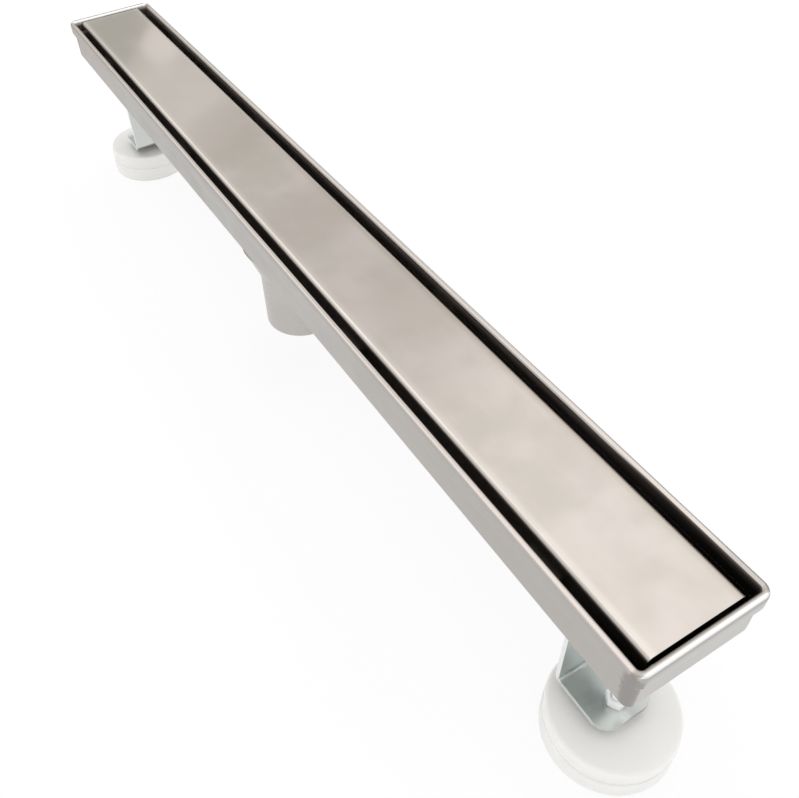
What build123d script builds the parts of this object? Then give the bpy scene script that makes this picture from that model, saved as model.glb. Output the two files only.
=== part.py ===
from build123d import *
import math
import os

os.makedirs("parts", exist_ok=True)

# Channel, over the outside
CHANNEL_LENGTH = 702.0
CHANNEL_WIDTH = 72.0
CHANNEL_DEPTH = 30.0
SHEET = 1.5
BAND_HEIGHT = 12.0
SHOULDER_HEIGHT = 4.5
SHOULDER_INSET = 2.0
CORNER_RADIUS = 4.5
FOLD_RADIUS = 2.0
HEM_HEIGHT = 9.0
HEM_GAP = 1.0
FOLD_FLAT = 0.3

# Cover panel and the bridges that carry it
COVER_SIDE_GAP = 5.75
COVER_END_GAP = 1.7
COVER_DROP = 1.5
COVER_SKIRT = 12.0
COVER_BEND = 3.0
REST_STRIP = 20.0
REST_SIDE_GAP = 2.5
REST_BEND = 2.5
REST_END_INSET = 65.0
REST_CENTRE_OFFSET = 120.0

# Outlet funnel and spigot
PIPE_DIAMETER = 50.0
OUTLET_LENGTH = 65.0
MOUTH_MARGIN = 0.5
FUNNEL_LIP = 2.5
FUNNEL_DROP = 21.5
PIPE_EDGE = 0.7

# Hair strainer lying in the funnel
STRAINER_DEPTH = 4.0
STRAINER_THICKNESS = 1.5
STRAINER_SEAT = 0.05
STRAINER_HOLE = 5.0
STRAINER_PITCH = 10.5
HOLES_PER_RING = 6
HANDLE_RADIUS = 5.0
HANDLE_WIRE = 2.0

# Leg bracket, one folded strip
LEG_INSET = 27.0
BRACKET_HEIGHT = 79.0
BRACKET_WIDTH = 34.0
BRACKET_SHEET = 2.5
BRACKET_BEND = 4.5
BRACKET_REACH = 35.3
BRACKET_BACK = 25.0
BRACKET_CORNER = 9.0

# Levelling foot, one moulding
FOOT_DIAMETER = 68.0
FOOT_TIER_STEP = 0.5
FOOT_HEIGHT = 24.3
FOOT_BASE_HEIGHT = 12.5
FOOT_TOP_ROUND = 2.4
FOOT_STEP_ROUND = 0.4
FOOT_BASE_ROUND = 2.0
FOOT_GROOVE_WIDTH = 2.4
FOOT_GROOVE_DEPTH = 0.5
FOOT_WALL = 2.5
FOOT_BOSS_DIAMETER = 17.0
FOOT_BOSS_LIFT = 1.5
FOOT_RIB = 2.0
FOOT_RIB_COUNT = 6

# Fasteners
THREAD = 6.0
THREAD_CLEARANCE = 0.06
HOLE_CLEARANCE = 0.3
NUT_SIDES = 6
NUT_FLATS = 10.0
NUT_HEIGHT = 5.0
HEAD_HEIGHT = 4.0
HEAD_CLEARANCE = 0.1
HEAD_POCKET = 7.0
BOLT_RISE = 45.0
WASHER_DIAMETER = 12.0
WASHER_THICKNESS = 1.6
STUD_SPARE = 3.0
FOOT_SEAT = 0.1

# Levels, counted up from the floor
plate_low = FOOT_HEIGHT + FOOT_SEAT + NUT_HEIGHT
under = plate_low + BRACKET_HEIGHT
rim = under + CHANNEL_DEPTH
floor_top = under + SHEET
band_low = rim - BAND_HEIGHT
shoulder_low = band_low - SHOULDER_HEIGHT
cover_top = rim - COVER_DROP
cover_low = cover_top - COVER_SKIRT
leg_x = CHANNEL_LENGTH / 2 - LEG_INSET
thread_radius = THREAD / 2


def plan(inset, z):
    """Rounded plan outline of the channel, inset from its outside and lifted to z."""
    length = CHANNEL_LENGTH - 2 * inset
    width = CHANNEL_WIDTH - 2 * inset
    return Pos(0, 0, z) * RectangleRounded(length, width, CORNER_RADIUS - inset)


def trough(inset, low, lift, fold):
    """Filled stepped trough: lower wall, shoulder and band, with a rounded lower edge."""
    lower = extrude(plan(inset + SHOULDER_INSET, low), shoulder_low + lift - low)
    lower = fillet(lower.edges().group_by(Axis.Z)[0], fold)
    shoulder = loft(
        [plan(inset + SHOULDER_INSET, shoulder_low + lift), plan(inset, band_low + lift)],
        ruled=True,
    )
    band = extrude(plan(inset, band_low + lift), rim - band_low - lift)
    return lower + shoulder + band


def folded_u(width, height, sheet, bend):
    """Section of a strip folded to a U, open towards -Y with its back on the X axis."""
    outer = Pos(0, -height / 2) * Rectangle(width, height)
    outer = fillet(outer.vertices().group_by(Axis.Y)[-1], bend)
    inner = Pos(0, -(height + sheet) / 2) * Rectangle(width - 2 * sheet, height - sheet)
    inner = fillet(inner.vertices().group_by(Axis.Y)[-1], bend - sheet)
    return outer - inner


def hexagon(flats):
    """Hexagon of the given size over flats, two flats facing along the X axis."""
    return RegularPolygon(flats / 2, NUT_SIDES, major_radius=False, rotation=180 / NUT_SIDES)


def rod(radius, low, high):
    """Upright round rod on the origin axis between two levels."""
    return extrude(Pos(0, 0, low) * Circle(radius), high - low)


def nut(low):
    """Hex nut standing on the given level."""
    blank = extrude(Pos(0, 0, low) * hexagon(NUT_FLATS), NUT_HEIGHT)
    return blank - rod(thread_radius + THREAD_CLEARANCE, low, low + NUT_HEIGHT)


# Channel: stepped sheet wall, open hem folded inward along the rim, hole over the outlet
shoulder_tilt = math.atan2(SHOULDER_INSET, SHOULDER_HEIGHT)
sheet_lift = SHEET * math.tan(shoulder_tilt / 2)
mouth_radius = CHANNEL_WIDTH / 2 - SHOULDER_INSET - FOLD_RADIUS - MOUTH_MARGIN
rim_width = 2 * SHEET + HEM_GAP
rim_round = (rim_width - FOLD_FLAT) / 2
hem_round = (HEM_GAP - FOLD_FLAT) / 2
hem_low = rim - HEM_HEIGHT
hem_space = HEM_HEIGHT - SHEET
channel = trough(0, under, 0, FOLD_RADIUS) - trough(SHEET, floor_top, sheet_lift, FOLD_RADIUS - SHEET)
hem = extrude(plan(SHEET, hem_low), HEM_HEIGHT) - extrude(plan(rim_width, hem_low), HEM_HEIGHT)
hem_inside = extrude(plan(SHEET, hem_low), hem_space) - extrude(plan(SHEET + HEM_GAP, hem_low), hem_space)
hem_inside = fillet(hem_inside.edges().group_by(Axis.Z)[-1], hem_round)
channel = channel + (hem - hem_inside)
channel = fillet(channel.edges().group_by(Axis.Z)[-1], rim_round)
channel = channel - rod(mouth_radius, under, floor_top)

# Cover panel: long edges folded down, ends cut square
inner_width = CHANNEL_WIDTH - 2 * rim_width
cover_width = inner_width - 2 * COVER_SIDE_GAP
cover_length = CHANNEL_LENGTH - 2 * rim_width - 2 * COVER_END_GAP
across = Plane(origin=(0, 0, 0), x_dir=(0, 1, 0), z_dir=(1, 0, 0))
cover_section = folded_u(cover_width, COVER_SKIRT, SHEET, COVER_BEND)
cover = Pos(0, 0, cover_top) * extrude(across * cover_section, cover_length / 2, both=True)

# Cover rests: low bridges across the channel floor
rest_width = CHANNEL_WIDTH - 2 * (SHOULDER_INSET + SHEET + REST_SIDE_GAP)
rest_section = folded_u(rest_width, cover_low - floor_top, SHEET, REST_BEND)
rest = Pos(0, 0, cover_low) * extrude(across * rest_section, REST_STRIP / 2, both=True)
rest_outer = CHANNEL_LENGTH / 2 - REST_END_INSET
rest_places = (-rest_outer, -REST_CENTRE_OFFSET, REST_CENTRE_OFFSET, rest_outer)

# Outlet: lip, cone and pipe drawn in one wall
pipe_radius = PIPE_DIAMETER / 2
lip_radius = mouth_radius + SHEET
lip_low = under - FUNNEL_LIP
cone_low = lip_low - FUNNEL_DROP
pipe_low = under - OUTLET_LENGTH
cone_tilt = math.atan2(lip_radius - pipe_radius, FUNNEL_DROP)
wall_lift = SHEET * math.tan(cone_tilt / 2)
outlet_wall = Polyline(
    (lip_radius, under),
    (lip_radius, lip_low),
    (pipe_radius, cone_low),
    (pipe_radius, pipe_low),
    (pipe_radius - SHEET, pipe_low),
    (pipe_radius - SHEET, cone_low + wall_lift),
    (mouth_radius, lip_low + wall_lift),
    (mouth_radius, under),
    close=True,
)
outlet_section = make_face(outlet_wall)
outlet_section = fillet(outlet_section.vertices().group_by(Axis.Y)[0], PIPE_EDGE)
outlet = revolve(Plane.XZ * outlet_section, Axis.Z)

# Hair strainer: holed disc with a coned edge and a wire handle
strainer_top = under - STRAINER_DEPTH
strainer_low = strainer_top - STRAINER_THICKNESS


def seat_radius(z):
    """Radius of the strainer's edge at a level inside the cone."""
    return mouth_radius - (lip_low + wall_lift - z) * math.tan(cone_tilt) - STRAINER_SEAT


disc_radius = seat_radius(strainer_low)
disc_edge = Polyline(
    (0, strainer_low),
    (disc_radius, strainer_low),
    (seat_radius(strainer_top), strainer_top),
    (0, strainer_top),
    close=True,
)
strainer = revolve(Plane.XZ * make_face(disc_edge), Axis.Z)
ring_count = int((disc_radius - STRAINER_HOLE) / STRAINER_PITCH)
for ring in range(1, ring_count + 1):
    places = PolarLocations(ring * STRAINER_PITCH, HOLES_PER_RING * ring)
    strainer = strainer - [at * rod(STRAINER_HOLE / 2, strainer_low, strainer_top) for at in places]
loop = Pos(0, 0, strainer_top) * Rot(90, 0, 0) * Torus(HANDLE_RADIUS, HANDLE_WIRE / 2)
strainer = strainer + split(loop, Plane.XY.offset(strainer_top), keep=Keep.TOP)

# Leg bracket: foot plate, web and top flange folded from one strip
web_x = leg_x - BRACKET_BACK
bracket_plane = Plane(origin=(web_x, 0, plate_low + BRACKET_HEIGHT / 2), x_dir=(0, 0, 1), z_dir=(0, -1, 0))
bracket_section = folded_u(BRACKET_HEIGHT, BRACKET_REACH, BRACKET_SHEET, BRACKET_BEND)
bracket = extrude(bracket_plane * bracket_section, BRACKET_WIDTH / 2, both=True)
bracket = fillet(bracket.edges().filter_by(Axis.Z).group_by(Axis.X)[-1], BRACKET_CORNER)
bracket = bracket - Pos(leg_x, 0, 0) * rod(thread_radius + HOLE_CLEARANCE, plate_low, under)

# Levelling foot: two tiers, hollow and ribbed below, boss for the bolt
base_radius = FOOT_DIAMETER / 2
foot_radius = base_radius - FOOT_TIER_STEP
groove_radius = foot_radius - FOOT_GROOVE_DEPTH
groove_high = FOOT_BASE_HEIGHT + FOOT_GROOVE_WIDTH
foot_ceiling = FOOT_HEIGHT - FOOT_WALL
foot_bore = groove_radius - FOOT_WALL
boss_radius = FOOT_BOSS_DIAMETER / 2
bolt_hole = thread_radius + THREAD_CLEARANCE
foot_outline = Polyline(
    (bolt_hole, FOOT_BOSS_LIFT),
    (bolt_hole, FOOT_HEIGHT),
    (foot_radius, FOOT_HEIGHT),
    (foot_radius, groove_high),
    (groove_radius, groove_high),
    (groove_radius, FOOT_BASE_HEIGHT),
    (base_radius, FOOT_BASE_HEIGHT),
    (base_radius, 0),
    (foot_bore, 0),
    (foot_bore, foot_ceiling),
    (boss_radius, foot_ceiling),
    (boss_radius, FOOT_BOSS_LIFT),
    close=True,
)
foot_section = make_face(foot_outline)
step_corners = foot_section.vertices().filter_by_position(Axis.Y, FOOT_BASE_HEIGHT, groove_high)
foot_section = fillet(step_corners.sort_by(Axis.X)[-2:], FOOT_STEP_ROUND)
foot_section = fillet(foot_section.vertices().group_by(Axis.Y)[-1].sort_by(Axis.X)[-1], FOOT_TOP_ROUND)
foot_section = fillet(foot_section.vertices().group_by(Axis.Y)[0].sort_by(Axis.X)[-1], FOOT_BASE_ROUND)
foot = revolve(Plane.XZ * foot_section, Axis.Z)
rib_length = foot_bore - boss_radius + FOOT_WALL
rib_height = foot_ceiling - FOOT_BOSS_LIFT
rib_place = Pos((foot_bore + boss_radius) / 2, 0, FOOT_BOSS_LIFT + rib_height / 2)
rib = rib_place * Box(rib_length, FOOT_RIB, rib_height)
foot = foot + [at * rib for at in PolarLocations(0, FOOT_RIB_COUNT)]
head_top = FOOT_BOSS_LIFT + HEAD_POCKET
pocket = extrude(Pos(0, 0, FOOT_BOSS_LIFT) * hexagon(NUT_FLATS + 2 * HEAD_CLEARANCE), HEAD_POCKET)
foot = Pos(leg_x, 0, 0) * (foot - pocket)

# Foot bolt: head held in the boss, thread up through both nuts
head = extrude(Pos(0, 0, head_top - HEAD_HEIGHT) * hexagon(NUT_FLATS), HEAD_HEIGHT)
bolt = Pos(leg_x, 0, 0) * (head + rod(thread_radius, head_top, FOOT_HEIGHT + BOLT_RISE))

# Flange fixing: stud under the channel with a washer and a nut
flange_low = under - BRACKET_SHEET
washer_low = flange_low - WASHER_THICKNESS
flange_nut_low = washer_low - NUT_HEIGHT
washer_rim = rod(WASHER_DIAMETER / 2, washer_low, flange_low)
washer = washer_rim - rod(thread_radius + HOLE_CLEARANCE, washer_low, flange_low)
stud = rod(thread_radius, flange_nut_low - STUD_SPARE, under)

right_leg = {
    "bracket": bracket,
    "foot": foot,
    "foot_bolt": bolt,
    "lower_nut": Pos(leg_x, 0, 0) * nut(FOOT_HEIGHT + FOOT_SEAT),
    "upper_nut": Pos(leg_x, 0, 0) * nut(plate_low + BRACKET_SHEET),
    "weld_stud": Pos(leg_x, 0, 0) * stud,
    "flange_washer": Pos(leg_x, 0, 0) * washer,
    "flange_nut": Pos(leg_x, 0, 0) * nut(flange_nut_low),
}

nodes = {
    "channel_body": channel,
    "cover_panel": cover,
    "outlet_spigot": outlet,
    "hair_strainer": strainer,
}
for number, x in enumerate(rest_places, start=1):
    nodes[f"cover_rest_{number}"] = Pos(x, 0, 0) * rest
for name, piece in right_leg.items():
    nodes[f"right_{name}"] = piece
    nodes[f"left_{name}"] = mirror(piece, about=Plane.YZ)

for name, piece in nodes.items():
    export_step(piece, f"parts/{name}.step")
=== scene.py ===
"""Looks of a linear shower drain: finishes, fixings, welds, studio and camera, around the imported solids."""

import logging
import math
from dataclasses import dataclass
from enum import Enum
from typing import Any, Iterable, Sequence, Union

import bmesh
import bpy
from mathutils import Matrix, Vector


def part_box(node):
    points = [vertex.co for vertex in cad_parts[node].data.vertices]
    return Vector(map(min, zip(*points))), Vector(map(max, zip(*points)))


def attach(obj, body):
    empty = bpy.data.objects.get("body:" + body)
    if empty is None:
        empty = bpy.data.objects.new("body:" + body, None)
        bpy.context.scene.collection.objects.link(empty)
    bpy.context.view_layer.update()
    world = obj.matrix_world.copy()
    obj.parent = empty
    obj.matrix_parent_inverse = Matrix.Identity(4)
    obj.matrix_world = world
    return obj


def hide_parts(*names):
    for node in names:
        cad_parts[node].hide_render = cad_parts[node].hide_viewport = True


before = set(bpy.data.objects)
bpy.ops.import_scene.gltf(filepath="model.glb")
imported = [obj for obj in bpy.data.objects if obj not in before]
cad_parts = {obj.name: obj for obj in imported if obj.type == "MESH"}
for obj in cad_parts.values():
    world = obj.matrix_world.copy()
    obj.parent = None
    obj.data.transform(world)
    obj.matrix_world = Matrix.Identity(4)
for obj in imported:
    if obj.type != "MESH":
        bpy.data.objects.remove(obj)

LOG = logging.getLogger("drain")
MM = 0.001
FULL_TURN = 2.0 * math.pi

Colour = tuple[float, float, float]
Ripples = tuple[float, float, float]
Place = tuple[float, float, float]
Point = tuple[float, float]
Span = tuple[float, float]
Operand = Union["Wire", float]

BLACK: Colour = (0.0, 0.0, 0.0)
WHITE: Colour = (1.0, 1.0, 1.0)


class Wire:
    """A node socket that sums can be written on."""

    def __init__(self, graph: "Graph", socket: bpy.types.NodeSocket) -> None:
        """Keeps the socket and the graph that it belongs to."""
        self.graph = graph
        self.socket = socket

    def _math(self, operation: str, first: Operand, second: Operand = 0.0) -> "Wire":
        """Adds one Math node.

        Args:
            operation: name of the Math node's operation.
            first: upper operand.
            second: lower operand, where the operation has one.

        Returns:
            The node's result.
        """
        return self.graph.node("ShaderNodeMath", {"operation": operation}, {0: first, 1: second})

    def __add__(self, other: Operand) -> "Wire":
        """Sum of both."""
        return self._math("ADD", self, other)

    __radd__ = __add__

    def __sub__(self, other: Operand) -> "Wire":
        """This less the other."""
        return self._math("SUBTRACT", self, other)

    def __rsub__(self, other: Operand) -> "Wire":
        """The other less this."""
        return self._math("SUBTRACT", other, self)

    def __mul__(self, other: Operand) -> "Wire":
        """Product of both."""
        return self._math("MULTIPLY", self, other)

    __rmul__ = __mul__

    def __truediv__(self, other: Operand) -> "Wire":
        """This over the other."""
        return self._math("DIVIDE", self, other)

    def __rtruediv__(self, other: Operand) -> "Wire":
        """The other over this."""
        return self._math("DIVIDE", other, self)

    def __pow__(self, other: Operand) -> "Wire":
        """This to the power of the other."""
        return self._math("POWER", self, other)

    def __abs__(self) -> "Wire":
        """Size without sign."""
        return self._math("ABSOLUTE", self)

    def most(self, other: Operand) -> "Wire":
        """Larger of both."""
        return self._math("MAXIMUM", self, other)

    def least(self, other: Operand) -> "Wire":
        """Smaller of both."""
        return self._math("MINIMUM", self, other)

    def fraction(self) -> "Wire":
        """Part after the point."""
        return self._math("FRACT", self)

    def angle_with(self, other: Operand) -> "Wire":
        """Angle of the point (other, this) about the origin."""
        return self._math("ARCTAN2", self, other)

    def ramp(self, low: float, high: float) -> "Wire":
        """Smooth step from 0 at low to 1 at high."""
        limits = {"Value": self, "From Min": low, "From Max": high}
        return self.graph.node("ShaderNodeMapRange", {"interpolation_type": "SMOOTHSTEP"}, limits)


class Graph:
    """A node tree that is written by calls and sums."""

    def __init__(self, tree: bpy.types.NodeTree) -> None:
        """Takes the tree to write in."""
        self.tree = tree

    @staticmethod
    def pick(sockets: Iterable[bpy.types.NodeSocket], key: Union[str, int]) -> bpy.types.NodeSocket:
        """Finds a socket.

        Args:
            sockets: inputs or outputs of a node.
            key: place in the list, identifier, or name among those in use.

        Returns:
            The socket.
        """
        if isinstance(key, int):
            return list(sockets)[key]
        for socket in sockets:
            if socket.identifier == key:
                return socket
        return next(socket for socket in sockets if socket.enabled and socket.name == key)

    def node(
        self,
        kind: str,
        settings: dict[str, Any] | None = None,
        sockets: dict[Union[str, int], Any] | None = None,
        result: Union[str, int, None] = None,
    ) -> Wire:
        """Adds a node, sets it up and links it.

        Args:
            kind: the node's type.
            settings: its own settings, set first.
            sockets: values or wires for its inputs.
            result: the output to give back, the first in use if left out.

        Returns:
            That output.
        """
        made = self.tree.nodes.new(kind)
        for name, value in (settings or {}).items():
            setattr(made, name, value)
        for key, value in (sockets or {}).items():
            socket = self.pick(made.inputs, key)
            if isinstance(value, Wire):
                self.tree.links.new(value.socket, socket)
            else:
                socket.default_value = value
        if not made.outputs:
            return Wire(self, made.inputs[0])
        if result is None:
            return Wire(self, next(socket for socket in made.outputs if socket.enabled))
        return Wire(self, self.pick(made.outputs, result))

    def blend(self, factor: Operand, first: Any, second: Any) -> Wire:
        """Mixes two colours.

        Args:
            factor: 0 for the first colour, 1 for the second.
            first: colour or wire.
            second: colour or wire.

        Returns:
            The mixed colour.
        """
        sockets = {"Factor_Float": factor, "A_Color": solid(first), "B_Color": solid(second)}
        return self.node("ShaderNodeMix", {"data_type": "RGBA"}, sockets, "Result_Color")

    def noise(self, place: Wire, stretch: Sequence[float], detail: float, warp: float = 0.0) -> Wire:
        """Adds a noise texture.

        Args:
            place: coordinates in metres.
            stretch: ripples to the metre along X, Y and Z.
            detail: octaves of finer noise.
            warp: distortion.

        Returns:
            The noise value.
        """
        scaled = self.node("ShaderNodeVectorMath", {"operation": "MULTIPLY"}, {0: place, 1: tuple(stretch)})
        sockets = {"Vector": scaled, "Scale": 1.0, "Detail": detail, "Distortion": warp}
        return self.node("ShaderNodeTexNoise", {"noise_dimensions": "3D"}, sockets, "Fac")

    def parts(self, place: Wire) -> tuple[Wire, Wire, Wire]:
        """Splits a vector into its X, Y and Z."""
        split = self.node("ShaderNodeSeparateXYZ", None, {0: place}).socket.node
        return Wire(self, split.outputs[0]), Wire(self, split.outputs[1]), Wire(self, split.outputs[2])


def solid(colour: Any) -> Any:
    """Colour with an alpha of 1, or the wire as it is."""
    return colour if isinstance(colour, Wire) else (*colour, 1.0)


def emptied(block: Union[bpy.types.Material, bpy.types.World]) -> Graph:
    """Clears the node tree of a material or a world.

    Args:
        block: the material or the world.

    Returns:
        Its tree, to be written anew.
    """
    block.use_nodes = True
    block.node_tree.nodes.clear()
    return Graph(block.node_tree)


class Surface(Graph):
    """Material tree with one Principled shader, whose colour and roughness are painted layer by layer."""

    def __init__(self, name: str) -> None:
        """Starts a material.

        Args:
            name: the material's name.
        """
        self.material = bpy.data.materials.new(name)
        super().__init__(emptied(self.material).tree)
        shader = self.node("ShaderNodeBsdfPrincipled")
        self.shader = shader.socket.node
        self.node("ShaderNodeOutputMaterial", None, {"Surface": shader})
        self.place = self.node("ShaderNodeTexCoord", None, None, "Object")
        self.tone: Any = WHITE
        self.rough: Operand = 0.5

    def paint(self, mask: Operand, colour: Colour, rough: float | None = None) -> None:
        """Lays a colour over the last one.

        Args:
            mask: 1 where the new colour covers.
            colour: the new colour.
            rough: its roughness, the old one if left out.
        """
        self.tone = self.blend(mask, self.tone, colour)
        if rough is not None:
            self.rough = self.rough + (rough - self.rough) * mask

    def seal(self) -> bpy.types.Material:
        """Joins the painted layers to the shader.

        Returns:
            The finished material.
        """
        self.coat(Base_Color=self.tone, Roughness=self.rough)
        return self.material

    def coat(self, **values: Any) -> None:
        """Sets the shader's inputs.

        Args:
            values: a value or a wire for each input, whose name has underscores for spaces.
        """
        for key, value in values.items():
            socket = self.shader.inputs[key.replace("_", " ")]
            if isinstance(value, Wire):
                self.tree.links.new(value.socket, socket)
            else:
                socket.default_value = value

    def relief(self, height: Wire, depth: float, strength: float) -> None:
        """Gives the surface a fine relief.

        Args:
            height: relief from 0 to 1.
            depth: its depth in metres.
            strength: share of it that shows.
        """
        bump = self.node("ShaderNodeBump", None, {"Height": height, "Distance": depth, "Strength": strength})
        self.coat(Normal=bump)


class Grain(Enum):
    """Way that the brushing of a sheet runs, as ripples to the metre along X, Y and Z."""

    ALONG = (18.0, 2600.0, 2600.0)
    ROUND = (900.0, 900.0, 2600.0)


@dataclass(frozen=True)
class SatinSteel:
    """Fine satin stainless sheet with cloudy patches and a faint brushed grain."""

    name: str
    clear: Colour
    cloudy: Colour
    roughness: float
    cloud_roughness: float
    grain: Grain
    grain_shade: float = 0.05
    grain_rough: float = 0.08
    grain_dark: Span = (0.3, 0.8)
    grain_depth: float = 0.01 * MM
    grain_relief: float = 0.25
    cloud_ripples: float = 13.0
    cloud_warp: float = 0.6
    small_ripples: float = 52.0
    small_share: float = 0.4
    cloud_edge: Span = (0.34, 0.66)

    def surface(self) -> Surface:
        """Builds the satin finish.

        Returns:
            The surface, which may get more painted on it.
        """
        steel = Surface(self.name)
        broad = steel.noise(steel.place, (self.cloud_ripples,) * 3, detail=2.0, warp=self.cloud_warp)
        small = steel.noise(steel.place, (self.small_ripples,) * 3, detail=4.0)
        cloud = (broad * (1.0 - self.small_share) + small * self.small_share).ramp(*self.cloud_edge)
        grain = steel.noise(steel.place, self.grain.value, detail=2.0)
        steel.tone = self.clear
        steel.rough = self.roughness + cloud * self.cloud_roughness + (grain - 0.5) * self.grain_rough
        steel.paint(cloud, self.cloudy)
        steel.paint(grain.ramp(*self.grain_dark) * self.grain_shade, BLACK)
        steel.coat(Metallic=1.0)
        steel.relief(grain, self.grain_depth, self.grain_relief)
        return steel


@dataclass(frozen=True)
class ZincPlate:
    """Passivated zinc plating: cool grey with faint yellow and blue drifts."""

    name: str
    cool: Colour
    warm: Colour
    roughness: float
    metal: float = 1.0
    drift_ripples: float = 55.0
    drift_edge: Span = (0.35, 0.7)
    drift_rough: float = 0.05
    roll_ripples: Ripples = (60.0, 900.0, 60.0)
    roll_edge: Span = (0.45, 0.75)
    roll_rough: float = 0.03
    roll_shade: float = 0.03
    roll_tone: Colour = (0.2, 0.24, 0.24)

    def surface(self) -> Surface:
        """Builds the plated finish.

        Returns:
            The surface, which may get more painted on it.
        """
        zinc = Surface(self.name)
        drift = zinc.noise(zinc.place, (self.drift_ripples,) * 3, detail=2.0, warp=0.8).ramp(*self.drift_edge)
        rolled = zinc.noise(zinc.place, self.roll_ripples, detail=2.0)
        zinc.tone = self.cool
        zinc.rough = self.roughness + (rolled - 0.5) * self.roll_rough + drift * self.drift_rough
        zinc.paint(drift, self.warm)
        zinc.paint(rolled.ramp(*self.roll_edge) * self.roll_shade, self.roll_tone)
        zinc.coat(Metallic=self.metal)
        return zinc


@dataclass(frozen=True)
class Moulding:
    """Smooth injection-moulded plastic with faint flow marks and a little dust on top."""

    name: str
    white: Colour
    flow: Colour
    dust: Colour
    roughness: float
    flow_ripples: Ripples = (38.0, 38.0, 90.0)
    flow_edge: Span = (0.4, 0.75)
    flow_rough: float = 0.06
    skin_ripples: float = 1500.0
    skin_rough: float = 0.1
    skin_depth: float = 0.02 * MM
    skin_relief: float = 0.12
    dust_depth: Span = (1.2 * MM, 0.1 * MM)
    dust_share: float = 0.7

    def surface(self) -> Surface:
        """Builds the plastic finish.

        Returns:
            The surface, which may get more painted on it.
        """
        plastic = Surface(self.name)
        marks = plastic.noise(plastic.place, self.flow_ripples, detail=3.0, warp=1.4).ramp(*self.flow_edge)
        skin = plastic.noise(plastic.place, (self.skin_ripples,) * 3, detail=2.0)
        plastic.tone = self.white
        plastic.rough = self.roughness + marks * self.flow_rough + (skin - 0.5) * self.skin_rough
        plastic.paint(marks, self.flow)
        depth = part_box("right_foot")[1].z - plastic.parts(plastic.place)[2]
        plastic.paint(depth.ramp(*self.dust_depth) * self.dust_share, self.dust)
        plastic.coat(Coat_Weight=0.25, Coat_Roughness=0.12, IOR=1.49)
        plastic.coat(Subsurface_Weight=0.3, Subsurface_Scale=0.003, Subsurface_Radius=(1.0, 0.95, 0.9))
        plastic.relief(skin, self.skin_depth, self.skin_relief)
        return plastic


@dataclass(frozen=True)
class ChannelPlace:
    """Where a point of the channel's sheet lies: in the frame, below the rim and in from the outline."""

    x: Wire
    y: Wire
    z: Wire
    depth: Wire
    from_end: Wire
    from_side: Wire
    patchy: Wire
    low: Vector
    high: Vector
    sharp: float = 0.2 * MM

    @classmethod
    def on(cls, steel: Surface, ripples: Ripples) -> "ChannelPlace":
        """Measures the sheet.

        Args:
            steel: the sheet's surface.
            ripples: ripples to the metre of its patchy wear.

        Returns:
            The measures.
        """
        low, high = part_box("channel_body")
        x, y, z = steel.parts(steel.place)
        patchy = steel.noise(steel.place, ripples, detail=3.0, warp=0.8)
        return cls(x, y, z, high.z - z, high.x - abs(x), high.y - abs(y), patchy, low, high)

    def along(self, span: Span) -> Wire:
        """Fade along the channel, over a span in shares of its half length."""
        return self.x.ramp(span[0] * self.high.x, span[1] * self.high.x)

    def within(self, inset: float) -> Wire:
        """1 further inside the outline than an inset."""
        full = inset + self.sharp
        return self.from_end.ramp(inset, full) * self.from_side.ramp(inset, full)


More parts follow.
